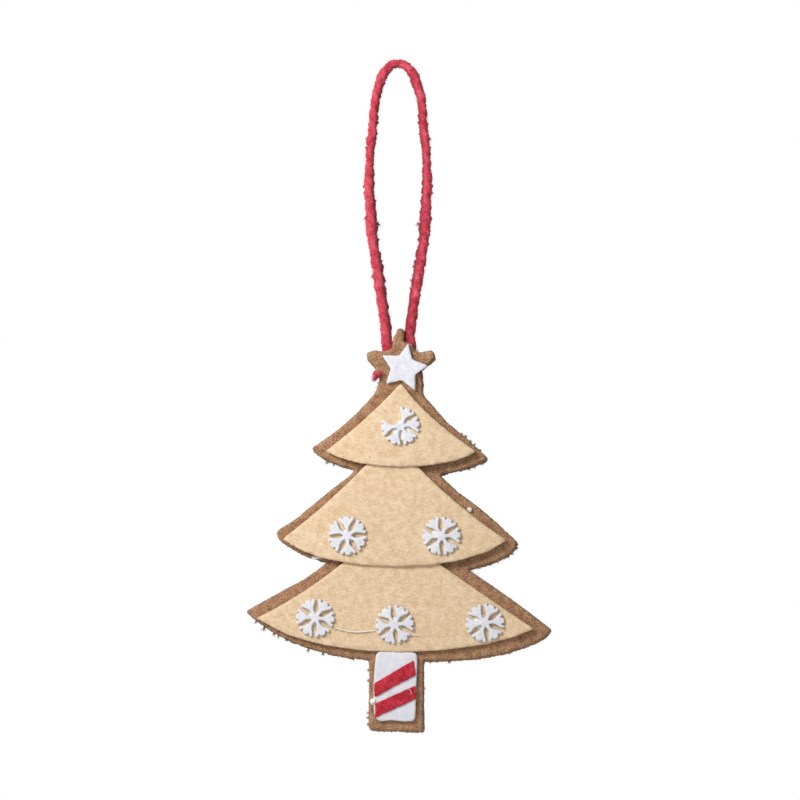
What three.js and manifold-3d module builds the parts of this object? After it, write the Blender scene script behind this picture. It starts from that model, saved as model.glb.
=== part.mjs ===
// A felt Christmas tree ornament on a loop of red yarn, in millimetres.
// The tree hangs upright with its front towards -Y. The origin is the inside top of the loop.
import * as THREE from "three";
import { mergeVertices } from "three/addons/utils/BufferGeometryUtils.js";
import Module from "manifold-3d";

const wasm = await Module();
wasm.setup();

// The two brown felts, cut to one outline and glued back to back with the yarn ends between them
const treeWidth = 83.6;
const treeHeight = 110;
const treeDrop = 72.2;
const brownThickness = 2;
const brownGlueThickness = 0.4;
const backFeltShiftRight = 0.2;
const backFeltShiftDown = 0.3;

// The yarn of the hanging loop, and the ends pressed flat between the brown felts
const yarnDiameter = 2.8;
const heldYarnThickness = 1.6;
const heldYarnWidth = 3.4;

// The three cream felt tiers
const tierThickness = 1;
const topTierWidth = 41.2;
const topTierHeight = 22.8;
const middleTierWidth = 61.2;
const middleTierHeight = 33.2;
const bottomTierWidth = 76.3;
const bottomTierHeight = 29.1;

// The white star, the snowflakes, and the trunk's label with its red stripes
const starRadius = 6.7;
const starThickness = 1;
const starRight = 1.6;
const starAboveTier = 4.2;
const flakeRadius = 5.5;
const flakeThickness = 0.7;
const labelWidth = 12.3;
const labelAboveFoot = 2.6;
const labelThickness = 0.8;
const labelLeft = 0.6;
const stripeThickness = 0.6;

// Hot glue: flat dabs under the pieces, one string and one bead left on the front
const dabThickness = 0.3;
const flakeDabWidth = 4.4;
const glueStringDiameter = 0.35;
const glueBeadDiameter = 1.4;
const glueBeadHeight = 0.8;

// The clearance of pieces that lie at a slant or run through a groove, and the overrun of a cut
const fitGap = 0.25;
const cutOverrun = 2;

// Faces of a tube or dab, and steps in a curved edge
const tubeSides = 8;
const yarnSteps = 60;
const shortTubeSteps = 12;
const dabSides = 16;
const edgeSteps = 8;

// Depths along Y, from the plane of the yarn between the two felts
const backFeltFront = brownGlueThickness / 2;
const backFeltBack = backFeltFront + brownThickness;
const frontFeltBack = -brownGlueThickness / 2;
const frontFeltFront = frontFeltBack - brownThickness;
const seat = frontFeltFront - dabThickness;

// Outlines as lines and curves: one point is a straight edge, two or three are a curve's.
// Each point is a share of the width, right of the middle, and of the height, down from the top.
const treeShares = [
  [[-0.002, -0.003]],
  [[0.012, -0.003]],
  [[0.018, 0.006]],
  [[0.0185, 0.028]],
  [[0.049, 0.033]],
  [[0.0585, 0.054], [0.07, 0.053]],
  [[0.108, 0.047]],
  [[0.124, 0.0505], [0.124, 0.07]],
  [[0.09, 0.091]],
  [[0.069, 0.098], [0.075, 0.11]],
  [[0.084, 0.128]],
  [[0.082, 0.152]],
  [[0.0865, 0.163]],
  [[0.115, 0.185], [0.158, 0.2245]],
  [[0.2, 0.2525], [0.23, 0.2695]],
  [[0.2515, 0.2855]],
  [[0.2945, 0.316]],
  [[0.293, 0.3225]],
  [[0.25, 0.343], [0.139, 0.36]],
  [[0.2, 0.4035]],
  [[0.242, 0.425], [0.2804, 0.449]],
  [[0.327, 0.479]],
  [[0.3945, 0.528]],
  [[0.392, 0.5475], [0.37, 0.5575]],
  [[0.322, 0.583], [0.234, 0.597]],
  [[0.378, 0.668], [0.5055, 0.746]],
  [[0.496, 0.765], [0.467, 0.7745]],
  [[0.336, 0.828], [0.085, 0.826]],
  [[0.086, 0.993]],
  [[0.087, 1.003], [0.074, 1.003]],
  [[-0.074, 0.999]],
  [[-0.097, 0.999], [-0.097, 0.988]],
  [[-0.096, 0.823]],
  [[-0.33, 0.8075], [-0.467, 0.7245]],
  [[-0.4975, 0.7045]],
  [[-0.4975, 0.699]],
  [[-0.4765, 0.689]],
  [[-0.42, 0.665], [-0.369, 0.644]],
  [[-0.33, 0.6285], [-0.297, 0.614]],
  [[-0.236, 0.579]],
  [[-0.329, 0.562], [-0.3925, 0.522]],
  [[-0.4005, 0.506]],
  [[-0.392, 0.4955]],
  [[-0.3555, 0.479]],
  [[-0.328, 0.464]],
  [[-0.24, 0.407], [-0.1545, 0.3585]],
  [[-0.145, 0.348]],
  [[-0.234, 0.333], [-0.278, 0.302]],
  [[-0.28, 0.29]],
  [[-0.151, 0.228], [-0.072, 0.15]],
  [[-0.059, 0.133], [-0.062, 0.113]],
  [[-0.076, 0.094]],
  [[-0.102, 0.072]],
  [[-0.104, 0.058]],
  [[-0.098, 0.0525]],
  [[-0.074, 0.047]],
  [[-0.056, 0.051]],
  [[-0.035, 0.05], [-0.02, 0.043]],
  [[-0.0165, 0.018]],
  [[-0.0075, 0.012]],
];
const topTierShares = [
  [[0.019, 0]],
  [[0.186, 0.42], [0.52, 0.825]],
  [[0.307, 1.075], [-0.307, 1.045], [-0.48, 0.816]],
  [[-0.185, 0.415], [0.019, 0]],
];
const middleTierShares = [
  [[-0.068, 0]],
  [[0.004, 0]],
  [[0.2345, 0.467], [0.487, 0.774]],
  [[0.288, 1.075], [-0.36, 1.044], [-0.517, 0.76]],
  [[-0.288, 0.447], [-0.068, 0]],
];
const bottomTierShares = [
  [[-0.125, 0]],
  [[0.058, 0]],
  [[0.273, 0.407], [0.488, 0.782]],
  [[0.296, 1.042], [-0.274, 1.137], [-0.51, 0.682]],
  [[-0.3225, 0.455], [-0.125, 0]],
];

// How far the top of each tier lies below the tree's tip, as a share of the tree's height
const topTierBelowTipShare = 0.131;
const middleTierBelowTipShare = 0.29;
const bottomTierBelowTipShare = 0.537;

// The star's points and hollows, as shares of its radius, right and down from its centre
const starShares = [
  [[0.18, -1]],
  [[0.34, -0.34]],
  [[0.98, -0.09]],
  [[0.46, 0.27]],
  [[0.47, 0.93]],
  [[-0.09, 0.49]],
  [[-0.72, 0.64]],
  [[-0.52, 0.04]],
  [[-0.87, -0.51]],
  [[-0.18, -0.49]],
];

// The label and the stripes, as shares of the label's width and height
const labelShares = [
  [[-0.39, 0]],
  [[0.4, 0.005]],
  [[0.475, 0.01], [0.485, 0.07]],
  [[0.455, 0.5]],
  [[0.44, 0.92]],
  [[0.43, 0.985], [0.36, 0.99]],
  [[0.12, 0.995]],
  [[-0.12, 0.945], [-0.33, 1]],
  [[-0.46, 0.99], [-0.49, 0.87]],
  [[-0.5, 0.46]],
  [[-0.455, 0.075]],
  [[-0.44, 0.012], [-0.39, 0]],
];
const upperStripeShares = [[[-0.485, 0.445]], [[0.395, 0.108]], [[0.43, 0.315]], [[-0.475, 0.638]]];
const lowerStripeShares = [[[-0.46, 0.738]], [[0.44, 0.472]], [[0.445, 0.662]], [[-0.455, 0.925]]];

// Half of one snowflake arm, from the hollow beside it to its tip, as shares of the radius:
// first across the arm, then out along it. The teeth of the rim come last.
const halfArmShares = [
  [0.115, 0.2],
  [0.091, 0.338],
  [0.139, 0.491],
  [0.2435, 0.603],
  [0.326, 0.675],
  [0.389, 0.744],
  [0.42, 0.81],
  [0.4, 0.9],
  [0.3, 0.955],
  [0.235, 0.94],
  [0.185, 0.82],
  [0.145, 0.965],
  [0.06, 1],
];
const armCount = 6;

// The snowflakes: middle right and down from the tier's top, as shares, and turn to the right
const flakeShares = {
  snowflake_top: { tier: "tier_top", share: [0.016, 0.513], turn: 24, missingArm: 5 },
  snowflake_middle_left: { tier: "tier_middle", share: [-0.227, 0.731], turn: -3 },
  snowflake_middle_right: { tier: "tier_middle", share: [0.195, 0.734], turn: 27 },
  snowflake_bottom_left: { tier: "tier_bottom", share: [-0.297, 0.677], turn: 35 },
  snowflake_bottom_middle: { tier: "tier_bottom", share: [-0.012, 0.74], turn: 24 },
  snowflake_bottom_right: { tier: "tier_bottom", share: [0.313, 0.724], turn: 22 },
};

// Glue between the brown felts: middle, width and height as shares of the tree's size
const feltGlueShares = {
  felt_glue_neck: [0.002, 0.155, 0.1, 0.03],
  felt_glue_top: [0.003, 0.25, 0.2, 0.06],
  felt_glue_middle: [0.005, 0.475, 0.38, 0.07],
  felt_glue_middle_left: [-0.27, 0.553, 0.09, 0.036],
  felt_glue_bottom_left: [-0.2, 0.7, 0.2, 0.06],
  felt_glue_bottom_right: [0.2, 0.7, 0.2, 0.06],
  felt_glue_trunk: [-0.005, 0.91, 0.1, 0.09],
};
// Glue under each tier: middle, width and height as shares of the tier's size
const tierGlueShares = {
  glue_under_top_tier: { tier: "tier_top", share: [0.01, 0.36, 0.18, 0.22] },
  glue_under_middle_tier: { tier: "tier_middle", share: [-0.02, 0.26, 0.24, 0.2] },
  glue_under_bottom_tier: { tier: "tier_bottom", share: [-0.02, 0.6, 0.6, 0.24] },
};
const starGlueShare = 1.1;
const labelGlueShares = [0, 0.5, 0.5, 0.6];

// Where the glue string leaves each snowflake, as a direction out from its middle, and its sag
const stringFromLeftShares = [0.89, -0.46];
const stringFromMiddleShares = [-0.94, -0.34];
const stringSagShare = 0.06;
// The bead of glue beside the middle tier's right edge, as shares of that tier's size, and its
// domed profile, as shares of its radius and height
const glueBeadShares = [0.322, 0.52];
const beadProfileShares = [[0, 0], [1, 0], [0.95, 0.35], [0.7, 0.75], [0.35, 0.95], [0, 1]];

// The yarn's free stretch in x and z, from the left strand over the top to the right strand
const loopRoute = [
  [-3.25, -73.2],
  [-3.5, -70.2],
  [-4.1, -65.9],
  [-5.05, -59.3],
  [-6.05, -52.7],
  [-7.05, -46.1],
  [-7.45, -39.5],
  [-7.9, -33.4],
  [-7.85, -27.9],
  [-7.6, -22.4],
  [-7.05, -18],
  [-6.7, -13.6],
  [-6.4, -10.3],
  [-5.9, -7.4],
  [-5.15, -4.6],
  [-4.2, -2],
  [-3.1, -0.3],
  [-1.7, 0.9],
  [0, 1.4],
  [1.7, 0.9],
  [3.2, -0.3],
  [4.35, -2],
  [5.3, -4.6],
  [6.15, -7.4],
  [6.6, -10.3],
  [6.85, -13.6],
  [7.2, -18],
  [7.7, -22.4],
  [7.95, -27.9],
  [7.95, -33.4],
  [7.55, -39.5],
  [7.2, -46.1],
  [6.2, -52.7],
  [5.15, -59.3],
  [4.15, -65.9],
  [3.55, -70.2],
  [3.25, -73.2],
];
// The held ends, from just under the hinge to where each tail leaves the felt
const leftEndRoute = [[-3.1, -74.8], [-2.9, -77], [-3.2, -79.8], [-4.3, -82.4], [-6.2, -84.8]];
const rightEndRoute = [[3.25, -74.8], [3.6, -77], [4.5, -79.8], [5.6, -82.4], [6.8, -84.8]];

function finish(color, roughness) {
  return new THREE.MeshStandardMaterial({ color, roughness, metalness: 0 });
}

const brownFelt = finish(0x96704f, 0.95);
const creamFelt = finish(0xeed0a0, 0.9);
const whiteFelt = finish(0xe8eaf0, 0.85);
const redFelt = finish(0xc4283c, 0.9);
const redYarn = finish(0xd23c52, 0.95);
const hotGlue = finish(0xefe9dc, 0.35);

function named(name, geometry, material) {
  const mesh = new THREE.Mesh(geometry, material);
  mesh.name = name;
  return mesh;
}

// Reads shares into a shape whose x is right and whose y is up
function outline(shares, width, height) {
  const shape = new THREE.Shape();
  shares.forEach((points, index) => {
    const places = points.flatMap(([across, down]) => [across * width, -down * height]);
    if (index === 0) {
      shape.moveTo(...places);
    } else if (points.length === 1) {
      shape.lineTo(...places);
    } else if (points.length === 2) {
      shape.quadraticCurveTo(...places);
    } else {
      shape.bezierCurveTo(...places);
    }
  });
  return shape;
}

// Cuts a flat piece: its back lies at depth back, and its thickness runs towards the front
function flatPiece(shape, thickness, x, back, z) {
  const options = { depth: thickness, bevelEnabled: false, curveSegments: edgeSteps };
  const geometry = new THREE.ExtrudeGeometry(shape, options);
  geometry.rotateX(Math.PI / 2);
  geometry.translate(x, back, z);
  return geometry;
}

// Leans a piece out to the front by a slope, more the further it lies below the level top
function leanOut(geometry, top, slope) {
  const lean = new THREE.Matrix4().set(1, 0, 0, 0, 0, 1, slope, -slope * top, 0, 0, 1, 0, 0, 0, 0, 1);
  return geometry.applyMatrix4(lean);
}

function ellipse(width, height) {
  const points = [];
  for (let side = 0; side < dabSides; side += 1) {
    const angle = (side / dabSides) * 2 * Math.PI;
    points.push(new THREE.Vector2((Math.cos(angle) * width) / 2, (Math.sin(angle) * height) / 2));
  }
  return new THREE.Shape(points);
}

function toSolid(geometry) {
  const bare = geometry.clone();
  bare.deleteAttribute("normal");
  bare.deleteAttribute("uv");
  const merged = mergeVertices(bare);
  const vertProperties = new Float32Array(merged.attributes.position.array);
  const triVerts = new Uint32Array(merged.index.array);
  return new wasm.Manifold(new wasm.Mesh({ numProp: 3, vertProperties, triVerts }));
}

function toGeometry(solid) {
  const mesh = solid.getMesh();
  const geometry = new THREE.BufferGeometry();
  geometry.setAttribute("position", new THREE.BufferAttribute(mesh.vertProperties, 3));
  geometry.setIndex(new THREE.BufferAttribute(mesh.triVerts, 1));
  geometry.computeVertexNormals();
  return geometry;
}

function routeCurve(route) {
  return new THREE.CatmullRomCurve3(route.map(([x, z]) => new THREE.Vector3(x, 0, z)));
}

// A tube along a route in the plane of the yarn. The section's x is its depth, its y its width.
function tube(route, depth, width, steps) {
  const section = [];
  for (let side = 0; side < tubeSides; side += 1) {
    const angle = ((side + 0.5) / tubeSides) * 2 * Math.PI;
    section.push(new THREE.Vector2((Math.cos(angle) * depth) / 2, (Math.sin(angle) * width) / 2));
  }
  const options = { steps, extrudePath: routeCurve(route), bevelEnabled: false };
  return new THREE.ExtrudeGeometry(new THREE.Shape(section), options);
}

// The free loop: a tube with a rounded end on each strand, centred on the hinge line
function hangingLoop() {
  let solid = toSolid(tube(loopRoute, yarnDiameter, yarnDiameter, yarnSteps));
  for (const [x, z] of [loopRoute.at(0), loopRoute.at(-1)]) {
    const end = new THREE.SphereGeometry(yarnDiameter / 2, tubeSides, tubeSides);
    end.translate(x, 0, z);
    solid = solid.add(toSolid(end));
  }
  return named("hanging_loop", toGeometry(solid), redYarn);
}

// The groove that a held end presses into the felts, open at both of its ends
function groove(route) {
  const [startX, startZ] = route.at(0);
  const [endX, endZ] = route.at(-1);
  const [beforeX, beforeZ] = route.at(-2);
  const reach = cutOverrun / Math.hypot(endX - beforeX, endZ - beforeZ);
  const longer = [
    [startX, startZ + cutOverrun],
    ...route,
    [endX + (endX - beforeX) * reach, endZ + (endZ - beforeZ) * reach],
  ];
  const depth = heldYarnThickness + 2 * fitGap;
  const width = heldYarnWidth + 2 * fitGap;
  return toSolid(tube(longer, depth, width, shortTubeSteps));
}

function brownFeltPiece(name, right, down, back) {
  const shape = outline(treeShares, treeWidth, treeHeight);
  let solid = toSolid(flatPiece(shape, brownThickness, right, back, -treeDrop - down));
  for (const route of [leftEndRoute, rightEndRoute]) {
    solid = solid.subtract(groove(route));
  }
  return named(name, toGeometry(solid), brownFelt);
}

function heldEnd(name, route) {
  return named(name, tube(route, heldYarnThickness, heldYarnWidth, shortTubeSteps), redYarn);
}

function feltGlue(name, [across, down, width, height]) {
  const shape = ellipse(width * treeWidth, height * treeHeight);
  const z = -treeDrop - down * treeHeight;
  return named(name, flatPiece(shape, brownGlueThickness, across * treeWidth, backFeltFront, z), hotGlue);
}

// The head's glue fills the gap between the two held ends, level with the middle of their routes
function headGlue() {
  const [leftX, z] = leftEndRoute[(leftEndRoute.length - 1) / 2];
  const [rightX] = rightEndRoute[(rightEndRoute.length - 1) / 2];
  const width = rightX - leftX - heldYarnWidth - 2 * fitGap;
  const shape = ellipse(width, heldYarnWidth);
  const x = (leftX + rightX) / 2;
  return named("felt_glue_head", flatPiece(shape, brownGlueThickness, x, backFeltFront, z), hotGlue);
}

// Each tier leans out so far that its foot clears the head of the tier below it
function tierSlope(belowTipShare, nextBelowTipShare) {
  return (tierThickness + fitGap) / ((nextBelowTipShare - belowTipShare) * treeHeight);
}

const tiers = {
  tier_top: {
    shares: topTierShares,
    width: topTierWidth,
    height: topTierHeight,
    top: -treeDrop - topTierBelowTipShare * treeHeight,
    slope: tierSlope(topTierBelowTipShare, middleTierBelowTipShare),
  },
  tier_middle: {
    shares: middleTierShares,
    width: middleTierWidth,
    height: middleTierHeight,
    top: -treeDrop - middleTierBelowTipShare * treeHeight,
    slope: tierSlope(middleTierBelowTipShare, bottomTierBelowTipShare),
  },
  tier_bottom: {
    shares: bottomTierShares,
    width: bottomTierWidth,
    height: bottomTierHeight,
    top: -treeDrop - bottomTierBelowTipShare * treeHeight,
    slope: 0,
  },
};

function tierPiece(name) {
  const { shares, width, height, top, slope } = tiers[name];
  const geometry = flatPiece(outline(shares, width, height), tierThickness, 0, seat, top);
  return named(name, leanOut(geometry, top, slope), creamFelt);
}

function tierGlue(name, { tier, share: [across, down, width, height] }) {
  const { width: tierWidth, height: tierHeight, top } = tiers[tier];
  const shape = ellipse(width * tierWidth, height * tierHeight);
  const z = top - down * tierHeight;
  return named(name, flatPiece(shape, dabThickness, across * tierWidth, frontFeltFront, z), hotGlue);
}

function flakeShape(turn, missingArm) {
  const points = [];
  for (let arm = 0; arm < armCount; arm += 1) {
    const middle = (turn * Math.PI) / 180 + (arm * 2 * Math.PI) / armCount;
    const left = halfArmShares.map(([across, out]) => [-across, out]);
    const right = halfArmShares.toReversed();
    const whole = arm === missingArm ? [left.at(0), right.at(-1)] : [...left, ...right];
    for (const [across, out] of whole) {
      const x = (across * Math.cos(middle) + out * Math.sin(middle)) * flakeRadius;
      const y = (out * Math.cos(middle) - across * Math.sin(middle)) * flakeRadius;
      points.push(new THREE.Vector2(x, y));
    }
  }
  return new THREE.Shape(points);
}

function flakePlace(name) {
  const { tier, share } = flakeShares[name];
  const { width, height, top, slope } = tiers[tier];
  const gap = slope > 0 ? fitGap : 0;
  return {
    x: share[0] * width,
    z: top - share[1] * height,
    top,
    slope,
    dabBack: seat - tierThickness - gap,
    flakeBack: seat - tierThickness - gap - dabThickness - gap,
  };
}

function flake(name) {
  const { x, z, top, slope, flakeBack } = flakePlace(name);
  const { turn, missingArm } = flakeShares[name];
  const geometry = flatPiece(flakeShape(turn, missingArm), flakeThickness, x, flakeBack, z);
  return named(name, leanOut(geometry, top, slope), whiteFelt);
}

function flakeGlue(name) {
  const { x, z, top, slope, dabBack } = flakePlace(name);
  const geometry = flatPiece(ellipse(flakeDabWidth, flakeDabWidth), dabThickness, x, dabBack, z);
  return named(`glue_under_${name}`, leanOut(geometry, top, slope), hotGlue);
}

// The star's lower points straddle the tip of the top tier
const starHeight = tiers.tier_top.top + starAboveTier;

function star() {
  const shape = outline(starShares, starRadius, starRadius);
  return named("star", flatPiece(shape, starThickness, starRight, seat, starHeight), whiteFelt);
}

function starGlue() {
  const shape = ellipse(starGlueShare * starRadius, starGlueShare * starRadius);
  const geometry = flatPiece(shape, dabThickness, starRight, frontFeltFront, starHeight);
  return named("glue_under_star", geometry, hotGlue);
}

// The label covers the trunk, from just under the foot of the bottom tier to near the trunk's foot
const labelTop = tiers.tier_bottom.top - bottomTierHeight - fitGap;
const labelHeight = labelTop - (-treeDrop - treeHeight + labelAboveFoot);

function onLabel(name, shares, thickness, back, material) {
  const shape = outline(shares, labelWidth, labelHeight);
  return named(name, flatPiece(shape, thickness, -labelLeft, back, labelTop), material);
}

function labelGlue() {
  const [across, down, width, height] = labelGlueShares;
  const shape = ellipse(width * labelWidth, height * labelHeight);
  const x = across * labelWidth - labelLeft;
  const z = labelTop - down * labelHeight;
  return named("glue_under_label", flatPiece(shape, dabThickness, x, frontFeltFront, z), hotGlue);
}

// A hair of glue pulled from one snowflake to the next, lying on the bottom tier
function glueString() {
  const left = flakePlace("snowflake_bottom_left");
  const middle = flakePlace("snowflake_bottom_middle");
  const reach = flakeRadius + fitGap;
  const start = [left.x + stringFromLeftShares[0] * reach, left.z + stringFromLeftShares[1] * reach];
  const end = [
    middle.x + stringFromMiddleShares[0] * reach,
    middle.z + stringFromMiddleShares[1] * reach,
  ];
  const span = end[0] - start[0];
  const sagging = [(start[0] + end[0]) / 2, (start[1] + end[1]) / 2 - stringSagShare * span];
  const route = [start, sagging, end];
  const geometry = tube(route, glueStringDiameter, glueStringDiameter, shortTubeSteps);
  geometry.translate(0, seat - tierThickness - fitGap - glueStringDiameter / 2, 0);
  return named("glue_string", geometry, hotGlue);
}

function glueBead() {
  const { width, height, top } = tiers.tier_middle;
  const radius = glueBeadDiameter / 2;
  const points = beadProfileShares.map(
    ([out, up]) => new THREE.Vector2(out * radius, up * glueBeadHeight),
  );
  const geometry = new THREE.LatheGeometry(points, dabSides);
  geometry.rotateX(Math.PI);
  geometry.translate(glueBeadShares[0] * width, frontFeltFront, top - glueBeadShares[1] * height);
  return named("glue_bead", geometry, hotGlue);
}

const tree = new THREE.Group();
tree.add(brownFeltPiece("back_felt", backFeltShiftRight, backFeltShiftDown, backFeltBack));
tree.add(brownFeltPiece("front_felt", 0, 0, frontFeltBack));
tree.add(headGlue());
for (const [name, share] of Object.entries(feltGlueShares)) {
  tree.add(feltGlue(name, share));
}
tree.add(heldEnd("cord_end_left", leftEndRoute));
tree.add(heldEnd("cord_end_right", rightEndRoute));
for (const name of Object.keys(tiers)) {
  tree.add(tierPiece(name));
}
for (const [name, glue] of Object.entries(tierGlueShares)) {
  tree.add(tierGlue(name, glue));
}
for (const name of Object.keys(flakeShares)) {
  tree.add(flake(name));
  tree.add(flakeGlue(name));
}
tree.add(star());
tree.add(starGlue());
tree.add(onLabel("trunk_label", labelShares, labelThickness, seat, whiteFelt));
tree.add(onLabel("stripe_upper", upperStripeShares, stripeThickness, seat - labelThickness, redFelt));
tree.add(onLabel("stripe_lower", lowerStripeShares, stripeThickness, seat - labelThickness, redFelt));
tree.add(labelGlue());
tree.add(glueString());
tree.add(glueBead());

const ornament = new THREE.Group();
ornament.add(hangingLoop());
ornament.add(tree);

export default ornament;
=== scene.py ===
# A flat felt Christmas tree on a loop of red yarn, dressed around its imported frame.
# It hangs upright with its front towards -Y, and its origin is the inside top of the loop.
import math
import random

import bmesh
import bpy
from mathutils import Color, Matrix, Vector, geometry, kdtree, noise


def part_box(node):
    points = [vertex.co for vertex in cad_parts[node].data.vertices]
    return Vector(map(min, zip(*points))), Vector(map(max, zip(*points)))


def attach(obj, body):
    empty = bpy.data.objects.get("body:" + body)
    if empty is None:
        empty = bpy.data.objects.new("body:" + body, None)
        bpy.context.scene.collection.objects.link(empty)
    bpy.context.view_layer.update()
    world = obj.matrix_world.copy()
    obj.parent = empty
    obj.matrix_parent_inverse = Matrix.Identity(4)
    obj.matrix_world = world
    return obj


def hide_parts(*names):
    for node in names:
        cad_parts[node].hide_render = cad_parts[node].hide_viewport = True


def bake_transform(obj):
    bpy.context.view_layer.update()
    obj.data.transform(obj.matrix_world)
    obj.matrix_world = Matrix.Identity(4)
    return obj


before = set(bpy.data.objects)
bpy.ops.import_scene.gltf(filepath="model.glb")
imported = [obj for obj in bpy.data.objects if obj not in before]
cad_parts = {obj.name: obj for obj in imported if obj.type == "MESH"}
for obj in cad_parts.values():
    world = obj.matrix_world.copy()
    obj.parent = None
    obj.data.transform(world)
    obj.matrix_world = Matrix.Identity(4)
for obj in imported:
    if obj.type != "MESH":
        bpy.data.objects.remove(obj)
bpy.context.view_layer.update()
mm = 0.001

# The camera looks square at the front of the tree through a long lens. Its picture is 220 mm
# wide where the ornament hangs.
picture_width = 220 * mm
picture_middle = Vector((0.55 * mm, 0, -91.2 * mm))
camera_distance = 1.6
camera_data = bpy.data.cameras.new("camera")
camera_data.lens = camera_data.sensor_width * camera_distance / picture_width
camera = bpy.data.objects.new("camera", camera_data)
camera.location = picture_middle + Vector((0, -camera_distance, 0))
camera.rotation_euler = (math.radians(90), 0, 0)
bpy.context.collection.objects.link(camera)
bpy.context.scene.camera = camera
bpy.context.scene.view_settings.view_transform = "Standard"


# The hanging loop is one length of soft craft yarn, three plies twisted together. It runs up from
# between the brown felts on the left, over the top, and down between them again on the right.
loop_route = [
    (-3.0, -76.4), (-3.1, -74.8), (-3.25, -73.2), (-3.5, -70.2), (-4.1, -65.9), (-5.05, -59.3),
    (-6.05, -52.7), (-7.05, -46.1), (-7.45, -39.5), (-7.9, -33.4), (-7.85, -27.9), (-7.6, -22.4),
    (-7.05, -18), (-6.7, -13.6), (-6.4, -10.3), (-5.9, -7.4), (-5.15, -4.6), (-4.2, -2),
    (-3.1, -0.3), (-1.7, 0.9), (0, 1.4), (1.7, 0.9), (3.2, -0.3), (4.35, -2), (5.3, -4.6),
    (6.15, -7.4), (6.6, -10.3), (6.85, -13.6), (7.2, -18), (7.7, -22.4), (7.95, -27.9),
    (7.95, -33.4), (7.55, -39.5), (7.2, -46.1), (6.2, -52.7), (5.15, -59.3), (4.15, -65.9),
    (3.55, -70.2), (3.25, -73.2), (3.25, -74.8), (3.5, -76.4),
]
# The yarn's girth at each height in millimetres, as a share: thin over the top, fuller lower down
yarn_girth_shares = [
    (3, 0.8), (0, 0.95), (-2.5, 1.1), (-5, 1.0), (-7.5, 0.96), (-10, 0.87), (-15, 0.92),
    (-19, 0.93), (-26, 0.86), (-31, 1.06), (-38, 1.08), (-43.5, 1.26), (-48, 1.02), (-53, 1.14),
    (-60, 1.13), (-66, 1.1), (-72, 1.12), (-77, 1.08),
]
yarn_diameter = 2.8 * mm
# Where the felts hold the yarn it lies wide and flat, and it comes round again above them.
held_yarn_width = 3.4 * mm
held_yarn_thickness = 1.6 * mm
flattened_stretch = 3.2 * mm
flattened_depth_share = 0.75
flattened_ply_share = 0.2
# The plies' twist and girth are a little uneven. Angles are in radians here and for all fibres.
ply_count = 3
ply_radius = 0.93 * mm
ply_swell_share = 0.3
ply_swell_pitch = 1.4 * mm
twist_pitch = 11 * mm
twist_start = 0.4
twist_wander = 0.6
twist_wander_pitch = 9 * mm
line_step = 0.3 * mm
weld = 0.001 * mm
depth_way = Vector((0, -1, 0))


def smooth_line(route, step):
    """Points about a step apart on a smooth curve through a route of x and z in millimetres."""
    stops = [Vector((x, 0, z)) * mm for x, z in route]
    line = []
    for index, (start, end) in enumerate(zip(stops, stops[1:])):
        before, after = stops[max(index - 1, 0)], stops[min(index + 2, len(stops) - 1)]
        parts = max(2, round((end - start).length / step))
        handles = (start + (end - before) / 6, end - (after - start) / 6)
        line += geometry.interpolate_bezier(start, *handles, end, parts + 1)[:-1]
    return [*line, stops[-1]]


def heading(line, index):
    """The direction in which a line runs at one of its points."""
    return (line[min(index + 1, len(line) - 1)] - line[max(index - 1, 0)]).normalized()


def near_points(points):
    """A tree that finds the nearest of some points."""
    tree = kdtree.KDTree(len(points))
    for index, point in enumerate(points):
        tree.insert(point, index)
    tree.balance()
    return tree


def put(name, shape):
    """Turns a bmesh into a smooth-shaded object at the origin."""
    mesh = bpy.data.meshes.new(name)
    bmesh.ops.recalc_face_normals(shape, faces=shape.faces)
    shape.to_mesh(mesh)
    shape.free()
    mesh.shade_smooth()
    piece = bpy.data.objects.new(name, mesh)
    bpy.context.collection.objects.link(piece)
    return piece


def thread(name, strands, radius, sides):
    """Round threads, closed at both ends, along lists of points with a share of the radius."""
    curve = bpy.data.curves.new(name, "CURVE")
    curve.dimensions = "3D"
    curve.bevel_depth = radius
    curve.bevel_resolution = sides // 2 - 2
    curve.use_fill_caps = True
    for strand in strands:
        spline = curve.splines.new("POLY")
        spline.points.add(len(strand) - 1)
        for knot, (place, thickness) in zip(spline.points, strand):
            knot.co = (*place, 1)
            knot.radius = thickness
    line = bpy.data.objects.new(name, curve)
    bpy.context.collection.objects.link(line)
    solid = line.evaluated_get(bpy.context.evaluated_depsgraph_get())
    shape = bmesh.new()
    shape.from_mesh(bpy.data.meshes.new_from_object(solid))
    bpy.data.curves.remove(curve)
    bmesh.ops.remove_doubles(shape, verts=shape.verts, dist=weld)
    return put(name, shape)


def girth(height):
    """How thick the free yarn is at a height, as a share of its usual diameter."""
    for (above, wide), (below, narrow) in zip(yarn_girth_shares, yarn_girth_shares[1:]):
        if height >= below * mm:
            return wide + (narrow - wide) * (above * mm - height) / ((above - below) * mm)
    return 1


def yarn(line, flatness, seed):
    """The plies of a yarn that lies in the plane of the felts, as strands for thread()."""
    strands = []
    for ply in range(ply_count):
        strand = []
        for index, place in enumerate(line):
            run = index * line_step
            across = heading(line, index).cross(depth_way)
            angle = twist_start + 2 * math.pi * (run / twist_pitch + ply / ply_count)
            angle += twist_wander * noise.noise(Vector((run / twist_wander_pitch, seed, 0)))
            to_end = min(index, len(line) - 1 - index) * line_step
            flat = max(flatness, 1 - to_end / flattened_stretch)
            wide = yarn_diameter / 2 - ply_radius + flat * (held_yarn_width - yarn_diameter) / 2
            deep = (yarn_diameter / 2 - ply_radius) * (1 - flattened_depth_share * flat)
            thick = 1 - flattened_ply_share * flat
            thick += ply_swell_share * noise.noise(Vector((run / ply_swell_pitch, ply, seed)))
            offset = across * wide * math.cos(angle) + depth_way * deep * math.sin(angle)
            swell = girth(place.z)
            strand.append((place + offset * swell, thick * swell))
        strands.append(strand)
    return strands


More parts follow.
